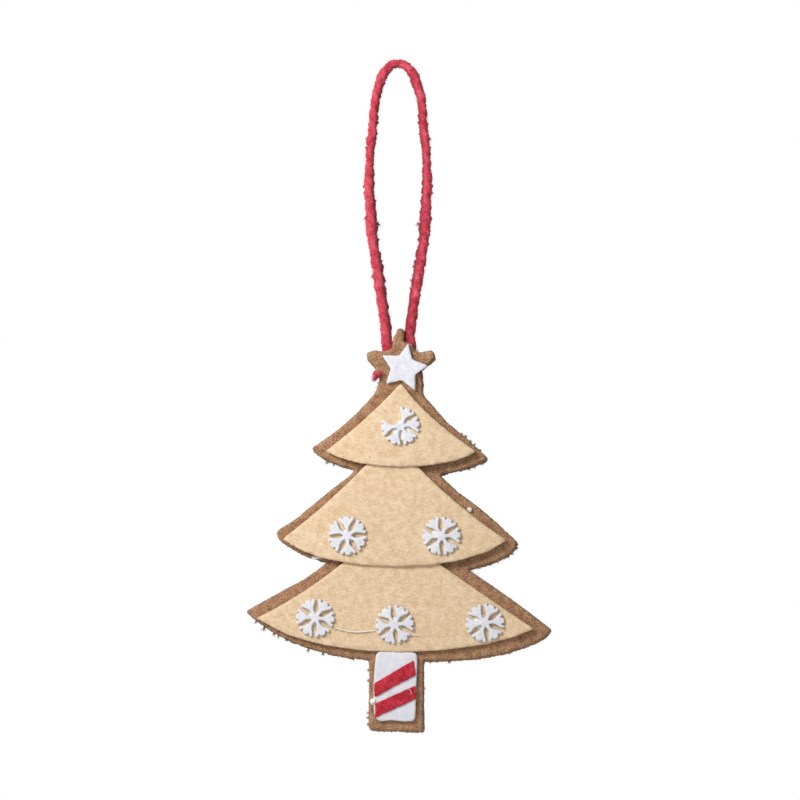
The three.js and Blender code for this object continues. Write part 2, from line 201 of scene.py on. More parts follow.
finer_grains = 2.3
finer_grain_share = 0.5


def roughen(piece, grain, height, seed):
    """Moves each point of a soft piece a little in or out, for the unevenness of loose fibres."""
    places = []
    for vertex in piece.data.vertices:
        wobble = noise.noise(vertex.co / grain + Vector((seed, 0, 0)))
        finer = noise.noise(vertex.co * finer_grains / grain + Vector((0, seed, 0)))
        wobble += finer_grain_share * finer
        places.append(vertex.co + vertex.normal * wobble * height)
    for vertex, place in zip(piece.data.vertices, places):
        vertex.co = place
    piece.data.update()


fibre_taper_share = 0.75


def curl(root, way, side, length, arc, steps=3):
    """One loose fibre that sets out one way and turns aside, thin at its tip, for thread()."""
    place, strand = root.copy(), []
    for step in range(steps + 1):
        strand.append((place.copy(), 1 - fibre_taper_share * (step / steps) ** 2))
        angle = arc * (step + 0.5) / steps
        place += (way * math.cos(angle) + side * math.sin(angle)) * length / steps
    return strand


def any_way(dice):
    """A random direction."""
    return Vector((dice.gauss(0, 1), dice.gauss(0, 1), dice.gauss(0, 1))).normalized()


def aside(way, dice):
    """A random direction square to another."""
    return any_way(dice).cross(way).normalized()


def tone(red, green, blue):
    """A colour as the eye reads it, from 0 to 255, in the linear values of a shader."""
    return (*Color((red / 255, green / 255, blue / 255)).from_srgb_to_scene_linear(), 1)


def finish(name, roughness, sheen, specular=0.25):
    """A new material whose even values are set on its shader."""
    material = bpy.data.materials.new(name)
    material.use_nodes = True
    shader = material.node_tree.nodes["Principled BSDF"]
    shader.inputs["Roughness"].default_value = roughness
    shader.inputs["Specular IOR Level"].default_value = specular
    shader.inputs["Sheen Weight"].default_value = sheen
    shader.inputs["Sheen Roughness"].default_value = 0.5
    return material


def node(material, kind, inputs, output=None, **settings):
    """Adds a shader node, feeds its inputs by name or number, and returns its output."""
    added = material.node_tree.nodes.new("ShaderNode" + kind)
    for setting, value in settings.items():
        setattr(added, setting, value)
    for name, value in inputs.items():
        named = [socket for socket in added.inputs if socket.enabled and socket.name == name]
        socket = named[0] if named else added.inputs[name]
        if isinstance(value, bpy.types.NodeSocket):
            material.node_tree.links.new(value, socket)
        else:
            socket.default_value = value
    return added.outputs[output] if output else [o for o in added.outputs if o.enabled][0]


def blend_tones(material, share, first, second):
    """A mix of two colours by a share."""
    return node(material, "Mix", {"Factor": share, "A": first, "B": second}, data_type="RGBA")


def spread(material, value, low, high):
    """Stretches the part of a value between low and high over 0 to 1."""
    return node(material, "MapRange", {"Value": value, "From Min": low, "From Max": high})


def coat(material, color, height, depth):
    """Gives the shader its colour and its relief of a depth in metres."""
    shader = material.node_tree.nodes["Principled BSDF"]
    material.node_tree.links.new(color, shader.inputs["Base Color"])
    relief = node(material, "Bump", {"Height": height, "Distance": depth, "Strength": 1.0})
    material.node_tree.links.new(relief, shader.inputs["Normal"])


wool_patch = 2.2 * mm
wool_grain = 0.35 * mm
wool_relief = 0.15 * mm
deepest_wool, even_wool, palest_wool = 0.75, 1.0, 1.35


def yarn_finish(name, pale, body, deep, painted_shade_tone):
    """Dyed wool in pale and deep patches, with painted shade where an attribute marks it."""
    wool = finish(name, roughness=0.95, sheen=0.3)
    place = node(wool, "TexCoord", {}, output="Object")
    patches = node(wool, "TexNoise", {"Vector": place, "Scale": 1 / wool_patch, "Detail": 3.0})
    grains = node(wool, "TexNoise", {"Vector": place, "Scale": 1 / wool_grain, "Detail": 3.0})
    shade = node(wool, "Math", {0: patches, 1: grains}, operation="ADD")
    lower = blend_tones(wool, spread(wool, shade, deepest_wool, even_wool), deep, body)
    color = blend_tones(wool, spread(wool, shade, even_wool, palest_wool), lower, pale)
    # Painted shade, mixed in where the piece's attribute marks it.
    inner = node(wool, "Attribute", {}, output="Fac", attribute_name="painted_shade")
    coat(wool, blend_tones(wool, inner, color, painted_shade_tone), grains, wool_relief)
    return wool


# Each wool's last tone is its painted shade.
red_wool = yarn_finish(
    "red_wool", tone(236, 108, 126), tone(216, 70, 89), tone(176, 36, 58), tone(128, 34, 48)
)

loop_line = smooth_line(loop_route, line_step)
loop_yarn = thread("loop_yarn", yarn(loop_line, flatness=0, seed=1), ply_radius, sides=10)
roughen(loop_yarn, grain=0.75 * mm, height=0.3 * mm, seed=3)
loop_yarn.data.materials.append(red_wool)

# Painted shade: the loop's inner side is darker, and its left strand a little darker all round.
left_strand_shade_share = 0.14
dark_side_start = 0.35
dark_side_fade = 0.5
nearest_on_loop = near_points(loop_line)
painted_shade = loop_yarn.data.attributes.new("painted_shade", "FLOAT", "POINT")
for vertex in loop_yarn.data.vertices:
    point, index, _ = nearest_on_loop.find(vertex.co)
    inward = heading(loop_line, index).cross(depth_way)
    reach = (vertex.co - point).dot(inward) / (yarn_diameter / 2)
    least_dark = left_strand_shade_share if vertex.co.x < 0 else 0
    darkness = max(least_dark, (reach - dark_side_start) / dark_side_fade)
    painted_shade.data[vertex.index].value = min(1, darkness)

# Loose fibres stand off the yarn all along it, with short darker nubs where they have matted.
# Each nub is told by its height in millimetres, the side of the strand, and how far it reaches.
yarn_fibres = 6500
fuzz_root_shares = (0.38, 0.46)
fuzz_outward_shares = (0.1, 0.9)
fuzz_lengths = (0.35, 1.0)
fuzz_arc = 1.8
fuzz_radius = 0.027 * mm
nubs = [
    (-14.9, "inner", 0.45), (-17.9, "inner", 0.3), (-19.3, "outer", 0.7), (-21.9, "outer", 0.3),
    (-32.6, "outer", 0.3), (-34.4, "outer", 0.3), (-36.3, "inner", 0.3), (-41.4, "outer", 0.6),
    (-42.9, "inner", 1.1), (-47.1, "inner", 0.6), (-53.0, "inner", 0.35), (-54.4, "inner", 0.45),
    (-57.3, "left", 0.8), (-58.3, "inner", 0.5), (-60.6, "inner", 0.3),
]
fibres_in_nub = 14
nub_root = 0.3 * mm
nub_spread = 0.2 * mm
nub_scatter = 0.4
nub_core = 0.35
nub_reach_shares = (0.6, 1)
nub_arcs = (0.5, 2)
nub_radius = 0.075 * mm
dice = random.Random(7)
loose = []
for _ in range(yarn_fibres):
    index = dice.randrange(1, len(loop_line) - 1)
    along = heading(loop_line, index)
    out = aside(along, dice)
    way = (out * dice.uniform(*fuzz_outward_shares) + along * dice.uniform(-1, 1)).normalized()
    reach = yarn_diameter * girth(loop_line[index].z) * dice.uniform(*fuzz_root_shares)
    length = dice.uniform(*fuzz_lengths) * mm
    loose.append(curl(loop_line[index] + out * reach, way, aside(way, dice), length, fuzz_arc))
loop_fuzz = thread("loop_fuzz", loose, fuzz_radius, sides=4)
loop_fuzz.data.materials.append(red_wool)

matted = []
for height, side, reach in nubs:
    for strand in (-1,) if side == "left" else (-1, 1):
        strand_points = [point for point in loop_line if point.x * strand > 0]
        root = min(strand_points, key=lambda point: abs(point.z - height * mm))
        out = Vector((-strand if side == "inner" else strand, 0, 0))
        start = root + out * (yarn_diameter / 2 * girth(root.z) - nub_root)
        for _ in range(fibres_in_nub):
            way = (out + nub_scatter * any_way(dice)).normalized()
            length = (nub_core + reach * dice.uniform(*nub_reach_shares)) * mm
            root = start + nub_spread * any_way(dice)
            side_way = aside(way, dice)
            matted.append(curl(root, way, side_way, length, dice.uniform(*nub_arcs), steps=4))
loop_nubs = thread("loop_nubs", matted, nub_radius, sides=6)
# Darker wool for the matted nubs, and as painted shade on the right tail.
matted_and_shaded_wool = yarn_finish(
    "matted_and_shaded_wool", tone(190, 66, 84), tone(156, 46, 62), tone(116, 36, 50), tone(96, 32, 44)
)
loop_nubs.data.materials.append(matted_and_shaded_wool)

for piece in (loop_yarn, loop_fuzz, loop_nubs):
    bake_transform(piece)
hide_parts("hanging_loop")


# Soft daylight comes from the upper left, with a weak lamp on the right, in an even white room.
# The floor lies well below the hanging tree, and takes its shadow.
def lamp(name, place, size, power):
    """A square lamp that faces the middle of the picture."""
    data = bpy.data.lights.new(name, "AREA")
    data.size = size
    data.energy = power
    light = bpy.data.objects.new(name, data)
    light.location = picture_middle + Vector(place)
    light.rotation_euler = (-Vector(place)).to_track_quat("-Z", "Y").to_euler()
    bpy.context.collection.objects.link(light)


lamp("window", place=(-0.2, -0.24, 0.165), size=0.12, power=1.19)
lamp("reflector", place=(0.9, -1.1, 0.1), size=0.8, power=0.8)
room = bpy.data.worlds.new("room")
room.use_nodes = True
bpy.context.scene.world = room
room_light = room.node_tree.nodes["Background"]
room_light.inputs["Color"].default_value = (1, 1, 1, 1)
room_light.inputs["Strength"].default_value = 0.285
sight = room.node_tree.nodes.new("ShaderNodeLightPath")
backdrop = node(room, "Background", {"Color": (1, 1, 1, 1)})
seen = sight.outputs["Is Camera Ray"]
for other in ("Is Glossy Ray", "Is Transmission Ray"):
    seen = node(room, "Math", {0: seen, 1: sight.outputs[other]}, operation="MAXIMUM")
choice = node(room, "MixShader", {0: seen, 1: room_light.outputs[0], 2: backdrop})
room.node_tree.links.new(choice, room.node_tree.nodes["World Output"].inputs[0])

floor_height = -265 * mm
floor_radius = 0.5
floor_shape = bmesh.new()
bmesh.ops.create_circle(floor_shape, cap_ends=True, segments=128, radius=floor_radius)
bmesh.ops.translate(floor_shape, verts=floor_shape.verts, vec=(0, 0, floor_height))
floor = put("floor", floor_shape)
floor_paint = finish("floor_paint", roughness=0.8, sheen=0)
floor_shader = floor_paint.node_tree.nodes["Principled BSDF"]
floor_shader.inputs["Base Color"].default_value = tone(240, 240, 240)
floor.data.materials.append(floor_paint)


# Two brown felts, cut by hand to one outline and glued together over the yarn's ends. The felt is
# thick and napped, and its cut edges are a little ragged and fluffy.
mildest_corner = math.radians(32)
facing = 0.9
cut_slack_share = 0.1
merge_share = 0.12
wall_cuts = 3
# A rim is worn round and thin a few rims deep, and torn most where it faces down.
worn_rims = 3
rim_roundness = 2.5
worn_thin_share = 0.35
torn_share = 0.6
torn_foot_share = 0.4
short_tear = 0.6 * mm
long_tear = 1.9 * mm
long_tear_share = 0.8
# Small and broad lumps on a felt's faces: their height in millimetres, and how far apart they lie
small_lump, small_lump_pitch = 0.03, 1.6 * mm
broad_lump, broad_lump_pitch = 0.07, 7 * mm


def cut_felt(
    name, node_name, thickness, cell, rim, ragged, seed,
    inset=0, settle=None, side=-1, easing=10,
):
    """A felt cut to a CAD node's outline: a fine grid whose rims are soft, and ragged at the foot.
    Returns the piece, its cut area, and its rim as points with their outward directions."""
    felt = bmesh.new()
    felt.from_mesh(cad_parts[node_name].data)
    bmesh.ops.remove_doubles(felt, verts=felt.verts, dist=weld)
    felt.normal_update()
    whole = [face for face in felt.faces if face.normal.y * side > facing]
    corners = [vertex for face in whole for vertex in face.verts]
    top = max(corners, key=lambda vertex: vertex.co.z).co.copy()
    foot = min(corners, key=lambda vertex: vertex.co.z).co.copy()
    lean = (foot.y - top.y) / (foot.z - top.z)
    middle = top.y - side * thickness / 2
    whole = bmesh.ops.dissolve_faces(felt, faces=whole)["region"]
    bmesh.ops.delete(felt, geom=[face for face in felt.faces if face not in whole], context="FACES")
    bmesh.ops.delete(felt, geom=felt.faces[:], context="FACES_ONLY")
    for vertex in felt.verts:
        vertex.co.y = 0
    for edge in felt.edges[:]:
        parts = round(edge.calc_length() / cell)
        if parts > 1:
            bmesh.ops.subdivide_edges(felt, edges=[edge], cuts=parts - 1)
    axes = dict(use_axis_x=True, use_axis_y=True, use_axis_z=True)
    mild = [vertex for vertex in felt.verts if vertex.calc_edge_angle(0) < mildest_corner]
    for _ in range(easing):
        bmesh.ops.smooth_vert(felt, verts=mild, factor=0.5, **axes)
    bmesh.ops.smooth_vert(felt, verts=felt.verts, factor=0.5, **axes)
    bmesh.ops.contextual_create(felt, geom=felt.edges[:])
    felt.faces.ensure_lookup_table()
    outline = felt.faces[0]
    if outline.normal.y > 0:
        outline.normal_flip()
    area = outline.calc_area()
    rims = []
    for loop in outline.loops:
        along = loop.link_loop_next.vert.co - loop.link_loop_prev.vert.co
        rims.append((loop.vert.co.copy(), along.cross(outline.normal).normalized()))
    nearest = near_points([place for place, _ in rims])

    for axis in (0, 2):
        low = min(vertex.co[axis] for vertex in felt.verts)
        high = max(vertex.co[axis] for vertex in felt.verts)
        for cut in range(1, int((high - low) / cell) + 1):
            place, way = Vector(), Vector()
            place[axis], way[axis] = low + cut * cell, 1
            parts = [*felt.verts, *felt.edges, *felt.faces]
            slack = cell * cut_slack_share
            bmesh.ops.bisect_plane(felt, geom=parts, dist=slack, plane_co=place, plane_no=way)
    bmesh.ops.remove_doubles(felt, verts=felt.verts, dist=cell * merge_share)
    raised = bmesh.ops.extrude_face_region(felt, geom=felt.faces[:])["geom"]
    back = [part for part in raised if isinstance(part, bmesh.types.BMVert)]
    bmesh.ops.translate(felt, verts=back, vec=(0, thickness, 0))
    walls = [e for e in felt.edges if abs(e.verts[0].co.y - e.verts[1].co.y) > thickness / 2]
    bmesh.ops.subdivide_edges(felt, edges=walls, cuts=wall_cuts, use_grid_fill=True)

    shift = Vector((seed, 2 * seed, 3 * seed))
    for vertex in felt.verts:
        flat = Vector((vertex.co.x, 0, vertex.co.z))
        _, index, inward = nearest.find(flat)
        depth = vertex.co.y / thickness - 0.5
        near = max(0, 1 - inward / (worn_rims * rim)) ** 2
        tear = noise.noise(vertex.co / short_tear + shift)
        tear += long_tear_share * noise.noise(vertex.co / long_tear + shift)
        out = rims[index][1]
        tear *= ragged * (torn_share - torn_foot_share * out.z)
        vertex.co += out * near * (tear - inset - rim * abs(2 * depth) ** rim_roundness)
        lump = small_lump * noise.noise(flat / small_lump_pitch + shift * (1 + depth))
        lump += broad_lump * noise.noise(flat / broad_lump_pitch + shift)
        layer = middle + lean * (flat.z - top.z)
        layer = settle(flat, layer) if settle else layer
        vertex.co.y = layer + thickness * depth * (1 - worn_thin_share * near) + lump * mm
    for place, _ in rims:
        place.y = middle + lean * (place.z - top.z)
    return put(name, felt), area, rims


patch_grains = 5
dark_hair_from, dark_hair_to = 0.42, 0.22
light_hair_from, light_hair_to = 0.6, 0.8


def felt_finish(name, tones, hairs, grain, relief, turns, streak=4, softness=0.22, mottle=1):
    """Pressed fibres: soft patches from deep to pale, fine grain, and dark and light hairs.
    The hairs lie at a few turns in degrees, and are a streak of so many grains long."""
    deep, body, pale = tones
    dark_hair, light_hair = hairs
    felt = finish(name, roughness=0.95, sheen=0.2)
    place = node(felt, "TexCoord", {}, output="Object")
    blots = {"Vector": place, "Scale": 1 / (patch_grains * grain), "Detail": 2.0}
    patches = node(felt, "TexNoise", blots)
    grains = node(felt, "TexNoise", {"Vector": place, "Scale": 1 / grain, "Detail": 3.0})
    most, least = None, None
    for turn in turns:
        stretch = (streak * grain, grain / 2, grain / 2)
        laid = {"Vector": place, "Rotation": (0, math.radians(turn), 0), "Scale": stretch}
        turned = node(felt, "Mapping", laid, vector_type="TEXTURE")
        hair = node(felt, "TexNoise", {"Vector": turned, "Scale": 1.0, "Detail": 2.0})
        most = node(felt, "Math", {0: most, 1: hair}, operation="MAXIMUM") if most else hair
        least = node(felt, "Math", {0: least, 1: hair}, operation="MINIMUM") if least else hair
    shade = node(felt, "Math", {0: patches, 1: mottle, 2: grains}, operation="MULTIPLY_ADD")
    even = (mottle + 1) / 2
    low = blend_tones(felt, spread(felt, shade, even - softness, even), deep, body)
    high = blend_tones(felt, spread(felt, shade, even, even + softness), low, pale)
    dark_share = spread(felt, least, dark_hair_from, dark_hair_to)
    dark = blend_tones(felt, dark_share, high, dark_hair)
    color = blend_tones(felt, spread(felt, most, light_hair_from, light_hair_to), dark, light_hair)
    height = node(felt, "Math", {0: most, 1: grains}, operation="ADD")
    coat(felt, color, height, relief)
    return felt


def fasten(piece, material, slot, *nodes):
    """Gives a piece its finish, rides it on the tree, and hides the CAD nodes it stands for."""
    piece.data.materials.append(material)
    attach(piece, "tree")
    if nodes:
        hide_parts(*nodes)


brown_felt = felt_finish(
    "brown_felt", tones=(tone(128, 91, 62), tone(179, 132, 96), tone(211, 168, 130)),
    hairs=(tone(94, 66, 45), tone(216, 181, 150)), grain=0.37 * mm, relief=0.25 * mm,
    turns=(15, 75, 135), streak=2.4, softness=0.17, mottle=0.45,
)
brown_thickness = 2.2 * mm
brown_inset = 0.12 * mm
brown_cell = 0.46 * mm
# On their way to the neck the yarn's ends press a groove into both felts, a little wider and
# deeper than they are.
held_routes = {
    "left": [(-3.1, -74.8), (-2.9, -77), (-3.2, -79.8), (-4.3, -82.4), (-6.2, -84.8)],
    "right": [(3.25, -74.8), (3.6, -77), (4.4, -79.6), (5.2, -81.6), (5.8, -83.1)],
}
held_lines = {side: smooth_line(route, line_step) for side, route in held_routes.items()}
nearest_held = near_points([point for line in held_lines.values() for point in line])
groove_reach = held_yarn_width / 2 + 0.3 * mm
groove_depth = held_yarn_thickness / 2 + 0.15 * mm
groove_fade_share = 0.9
# The tip of the head is pulled up a little, and widened to the right.
tip_foot = -76.5 * mm
tip_height = 3.5 * mm
tip_rise = 0.45 * mm
tip_left = -0.3 * mm
tip_right = 2 * mm
tip_widening_share = 0.28
brown_sides = {"back_brown_felt": ("back_felt", 1), "front_brown_felt": ("front_felt", -1)}
brown_pieces, brown_rims = {}, {}
for name, (node_name, side) in brown_sides.items():
    piece, area, brown_rims[name] = cut_felt(
        name, node_name, brown_thickness, brown_cell, rim=0.25 * mm, ragged=0.42 * mm,
        seed=3.5 + side, inset=brown_inset, side=side, easing=3,
    )
    for vertex in piece.data.vertices:
        _, _, away = nearest_held.find((vertex.co.x, 0, vertex.co.z))
        groove = math.sqrt(max(0, 1 - (away / groove_reach) ** 2)) * groove_depth
        outward = min(1, abs(vertex.co.y) / brown_thickness)
        vertex.co.y += side * groove * (1 - groove_fade_share * outward)
        near_tip = min(1, max(0, (vertex.co.z - tip_foot) / tip_height))
        vertex.co.z += near_tip * tip_rise
        from_left = max(0, min(vertex.co.x, tip_right) - tip_left)
        vertex.co.x += near_tip * tip_widening_share * from_left
    piece.data.update()
    brown_pieces[name] = piece
    fasten(piece, brown_felt, "brown_felt", node_name)

# Short brown fibres stand off the cut edges, most of all at their feet, and others lie on the
# outer faces as a nap. Lengths and root depths are in millimetres.
edge_fibres = 2200
fluffy_share = 0.65
fluffy_foot_share = 0.35
edge_outward_shares = (0.3, 1)
edge_roots = (-0.5, -0.15)
edge_depth_share = 0.42
edge_scatter = 0.8
edge_lengths = (0.25, 0.6)
edge_arc = 1.6
nap_fibres = 3000
nap_spread = 0.2 * mm
nap_lift_share = 0.35
nap_lengths = (0.35, 0.9)
nap_arc = 2.2
fibre_radius = 0.03 * mm
dice = random.Random(11)
for name, (_, side) in brown_sides.items():
    strands = []
    while len(strands) < edge_fibres:
        place, out = dice.choice(brown_rims[name])
        if dice.random() > fluffy_share - fluffy_foot_share * out.z:
            continue
        root = place + out * dice.uniform(*edge_roots) * mm
        root.y += dice.uniform(-edge_depth_share, edge_depth_share) * brown_thickness
        outward = out * dice.uniform(*edge_outward_shares)
        way = (outward + edge_scatter * any_way(dice)).normalized()
        side_way = aside(way, dice)
        strands.append(curl(root, way, side_way, dice.uniform(*edge_lengths) * mm, edge_arc))
    cells = [face for face in brown_pieces[name].data.polygons if face.normal.y * side > facing]
    for _ in range(nap_fibres):
        root = dice.choice(cells).center + nap_spread * any_way(dice)
        way = any_way(dice)
        way.y = side * abs(way.y) * nap_lift_share
        way.normalize()
        side_way = aside(way, dice)
        strands.append(curl(root, way, side_way, dice.uniform(*nap_lengths) * mm, nap_arc))
    fuzz = thread(name.replace("felt", "fuzz"), strands, fibre_radius, sides=4)
    fasten(fuzz, brown_felt, "brown_felt")

# Here and there fibres stand or hang off an edge in short tufts. Each tuft is told by its x and z,
# and by how far it stands off the edge, in millimetres.
edge_tufts = [
    (-39.1, -152.0, 0.7), (-36.9, -153.8, 1.4), (-34.2, -155.2, 0.7), (-32.8, -156.0, 0.5),
    (-30.8, -157.0, 0.4), (-24.8, -159.5, 0.9), (-20.8, -160.6, 0.8), (-12.3, -162.2, 0.4),
    (-19.8, -109.0, 0.8), (-17.9, -109.4, 0.4), (19.8, -109.9, 0.6), (20.9, -109.6, 0.7),
    (23.0, -108.4, 0.5), (27.5, -135.8, 0.6), (32.5, -131.8, 0.5), (14.3, -163.6, 0.6),
    (30.8, -161.0, 0.4), (17.2, -100.9, 0.2), (18.4, -101.6, 0.3), (19.6, -102.7, 0.2),
    (20.8, -103.8, 0.2), (22.3, -105.4, 0.15), (30.9, -133.0, 0.5), (29.9, -133.8, 0.6),
    (-8.35, -165.6, 0.2), (-8.4, -168.4, 0.3), (-8.4, -177.0, 0.3), (-8.7, -178.6, 0.4),
    (-8.95, -180.2, 0.3), (7.4, -170.3, 0.3), (8.8, -163.2, 0.3),
]
front_felt_layer = -1.2
fibres_in_tuft = 18
tuft_root = 0.3 * mm
tuft_depths = (-0.4, 1.2)
tuft_spread = 0.22 * mm
tuft_scatter = 0.25
tuft_core = 0.55
tuft_reach_shares = (0.7, 1.1)
tuft_arcs = (0.2, 1.4)
tuft_radius = 0.06 * mm
tufts = []
for x, z, reach in edge_tufts:
    middle = Vector((x, front_felt_layer, z)) * mm
    place, out = min(brown_rims["front_brown_felt"], key=lambda point: (point[0] - middle).length)
    hang = (out + Vector((0, 0, min(0, out.z)))).normalized()
    core = place - tuft_root * out + Vector((0, dice.uniform(*tuft_depths) * mm, 0))
    for _ in range(fibres_in_tuft):
        root = core + tuft_spread * any_way(dice)
        way = (hang + tuft_scatter * any_way(dice)).normalized()
        length = (tuft_core + reach * dice.uniform(*tuft_reach_shares)) * mm
        side_way = aside(way, dice)
        tufts.append(curl(root, way, side_way, length, dice.uniform(*tuft_arcs), steps=4))
fasten(thread("brown_tufts", tufts, tuft_radius, sides=6), brown_felt, "brown_felt")

# A little pale lint clings to the neck and to a few edges. Each stretch is told by its middle,
# how far it reaches to each side, all in millimetres, and how many fibres it has.
lint_spots = [
    (-6.0, -87.6, 1.6, 46), (4.7, -77.0, 1.3, 50), (20.0, -102.4, 4.0, 22), (24.5, -136.2, 4.0, 50),
    (16.5, -138.4, 3.0, 30), (30.0, -133.6, 2.5, 34), (22.6, -109.0, 1.0, 20),
]
lint_roots = (-0.3, 0.1)
lint_depths = (-1.0, 2.4)
lint_scatter = 0.9
lint_lengths = (0.5, 1.3)
lint_arc = 2.4
lint_strands = []
for x, z, reach, count in lint_spots:
    middle = Vector((x, front_felt_layer, z)) * mm
    rim = sorted(brown_rims["front_brown_felt"], key=lambda point: (point[0] - middle).length)
    for _ in range(count):
        place, out = rim[dice.randrange(round(2 * reach * mm / brown_cell))]
        root = place + out * dice.uniform(*lint_roots) * mm
        root.y += dice.uniform(*lint_depths) * mm
        way = (out + lint_scatter * any_way(dice)).normalized()
        length = dice.uniform(*lint_lengths) * mm
        lint_strands.append(curl(root, way, aside(way, dice), length, lint_arc, steps=4))
lint_wool = yarn_finish(
    "lint_wool", tone(206, 200, 198), tone(176, 168, 164), tone(140, 128, 122), tone(120, 110, 104)
)
fasten(thread("pale_lint", lint_strands, fibre_radius, sides=4), lint_wool, "white_felt")


# The two ends of the yarn lie flattened between the brown felts, held by the glue there. Their
# frayed tails come out at the neck and lie on the front: a loose curl left, a thin wisp right.
fray_offset_shares = (0.2, 1)
fray_wander_share = 0.6
fray_steps = 3
fray_easing = 2
fray_girth_shares = (0.5, 1.3)
fray_root_share = 1.1


def frayed(stops, spreading, count, thickness):
    """Fibres that follow stops in millimetres side by side, as strands for thread()."""
    strands = []
    for _ in range(count):
        offset = any_way(dice) * spreading * dice.uniform(*fray_offset_shares) * mm
        first = dice.randrange(0, 2)
        places = []
        for stop in stops[first:]:
            wander = fray_wander_share * spreading * mm * any_way(dice)
            places.append(Vector(stop) * mm + offset + wander)
        line = []
        for start, end in zip(places, places[1:]):
            line += [start.lerp(end, step / fray_steps) for step in range(fray_steps)]
        for _ in range(fray_easing):
            threes = zip(line, line[1:], line[2:])
            line[1:-1] = [(before + place * 2 + after) / 4 for before, place, after in threes]
        end = len(line) - 1
        thick = thickness * dice.uniform(*fray_girth_shares)
        girths = [thick * (fray_root_share - index / end) for index in range(len(line))]
        strands.append(list(zip(line, girths)))
    return strands


# The held ends taper towards their tails, by the same share of their girth at each step.
end_girth_share = 0.35
end_growth_share = 0.12
for side, line in held_lines.items():
    strands = []
    for strand in yarn(line, flatness=1, seed=2):
        left = range(len(strand), 0, -1)
        ends = [min(1, end_girth_share + end_growth_share * steps) for steps in left]
        strands.append([(place, thick * end) for (place, thick), end in zip(strand, ends)])
    piece = thread("held_yarn_" + side, strands, ply_radius, sides=8)
    roughen(piece, grain=0.7 * mm, height=0.06 * mm, seed=5)
    fasten(piece, red_wool, "red_yarn", "cord_end_" + side)

left_tail = [
    (-6.0, -0.6, -84.4), (-6.7, -1.6, -85.3), (-6.2, -2.6, -85.6), (-5.2, -3.0, -84.4),
    (-4.4, -3.0, -83.3), (-4.3, -2.8, -84.5),
]
right_tail = [(5.9, -0.6, -83.0), (6.4, -2.5, -84.0), (6.6, -3.0, -85.1), (6.8, -3.0, -86.6)]
right_wisp = [(3.9, -0.8, -75.6), (4.1, -2.2, -76.0), (4.3, -2.5, -77.0), (4.2, -2.6, -78.2)]
tail_strands = frayed(left_tail, spreading=0.8, count=26, thickness=0.12)
fasten(thread("yarn_tail_left", tail_strands, mm, sides=4), red_wool, "red_yarn")
tail_strands = frayed(right_tail, spreading=0.42, count=30, thickness=0.08)
tail_strands += frayed(right_wisp, spreading=0.35, count=14, thickness=0.045)
# The right tail takes the darker matted wool as painted shade.
fasten(thread("yarn_tail_right", tail_strands, mm, sides=4), matted_and_shaded_wool, "red_yarn")


# Set hot glue: a cloudy cream wax, smooth but uneven, with a soft gloss. It holds all the felts
# together, mostly out of sight, and shows where it has oozed out.
glue_cloud = 1.2 * mm
glue_relief = 0.1 * mm
hot_glue = finish("hot_glue", roughness=0.4, sheen=0, specular=0.4)
glue_place = node(hot_glue, "TexCoord", {}, output="Object")
cloudy = {"Vector": glue_place, "Scale": 1 / glue_cloud, "Detail": 2.0}
clouds = node(hot_glue, "TexNoise", cloudy)
glue_tones = blend_tones(hot_glue, clouds, tone(236, 230, 216), tone(250, 248, 242))
coat(hot_glue, glue_tones, clouds, glue_relief)
for name, cad_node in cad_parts.items():
    if "glue" in name:
        cad_node.material_slots[0].material = hot_glue


drop_radius = 0.5
lumps_in_drop = 3


def glue_drop(name, middle, size, seed, lean=0, uneven=0.5, nodes=()):
    """A set drop of glue, more or less uneven, and flat on the felt behind it, which may lean."""
    drop = bmesh.new()
    bmesh.ops.create_icosphere(drop, subdivisions=4, radius=drop_radius)
    for vertex in drop.verts:
        lump = noise.noise(vertex.co * lumps_in_drop + Vector((seed, 0, 0)))
        x, y, z = vertex.co * (1 + uneven * lump)
        y = min(y * 2 + drop_radius, drop_radius)
        vertex.co = middle + Vector((x * size.x, y * size.y + lean * z * size.z, z * size.z))
    fasten(put(name, drop), hot_glue, "hot_glue", *nodes)


# Three cream felts, cut as wide fans, lie over each other like shingles. Each is glued along its
# top, and its foot rests on the felt below it. The tips hang free and stand a little proud.
cream_felt = felt_finish(
    "cream_felt", tones=(tone(222, 190, 150), tone(236, 207, 169), tone(245, 219, 186)),
    hairs=(tone(206, 170, 128), tone(250, 229, 200)), grain=0.36 * mm, relief=0.09 * mm,
    turns=(-10, 6, 50),
)
# Each wing of a tier is told by the x where it starts, its tip's x, and how far the tip lies back.
# The last number is how far the foot is pressed back. All are in millimetres.
tier_bends = {
    "tier_top": ([(6, 21.4, 0.3), (-6, -19.8, 0.7)], 0.38),
    "tier_middle": ([(13, 29.8, 0.15), (-16, -31.4, 0.7)], 0.48),
    "tier_bottom": ([(28, 37.2, -0.5)], 0),
}


def hanging(node_name):
    """A function that bends a tier: its foot and its wings lie back towards the tree."""
    wings, press = tier_bends[node_name]
    low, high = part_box(node_name)

    def settle(flat, layer):
        fall = (high.z - flat.z) / (high.z - low.z)
        back = press * fall * fall
        for start, end, reach in wings:
            share = min(1, max(0, (flat.x / mm - start) / (end - start)))
            back += reach * share * share * (3 - 2 * share)
        return layer + back * mm

    return settle


def front_of(piece):
    """A function that gives how deep the front face of a piece lies at an x and z."""
    places = [vertex.co.copy() for vertex in piece.data.vertices if vertex.normal.y < -facing]
    nearest = near_points([Vector((place.x, 0, place.z)) for place in places])
    return lambda flat: places[nearest.find((flat.x, 0, flat.z))[1]].y


tier_fronts = {}
for seed, node_name in enumerate(tier_bends):
    piece, area, _ = cut_felt(
        "cream_" + node_name, node_name, thickness=1 * mm, cell=0.7 * mm, rim=0.12 * mm,
        ragged=0.2 * mm, seed=3.1 + seed, inset=-0.08 * mm, settle=hanging(node_name),
    )
    tier_fronts[node_name] = front_of(piece)
    fasten(piece, cream_felt, "cream_felt", node_name)


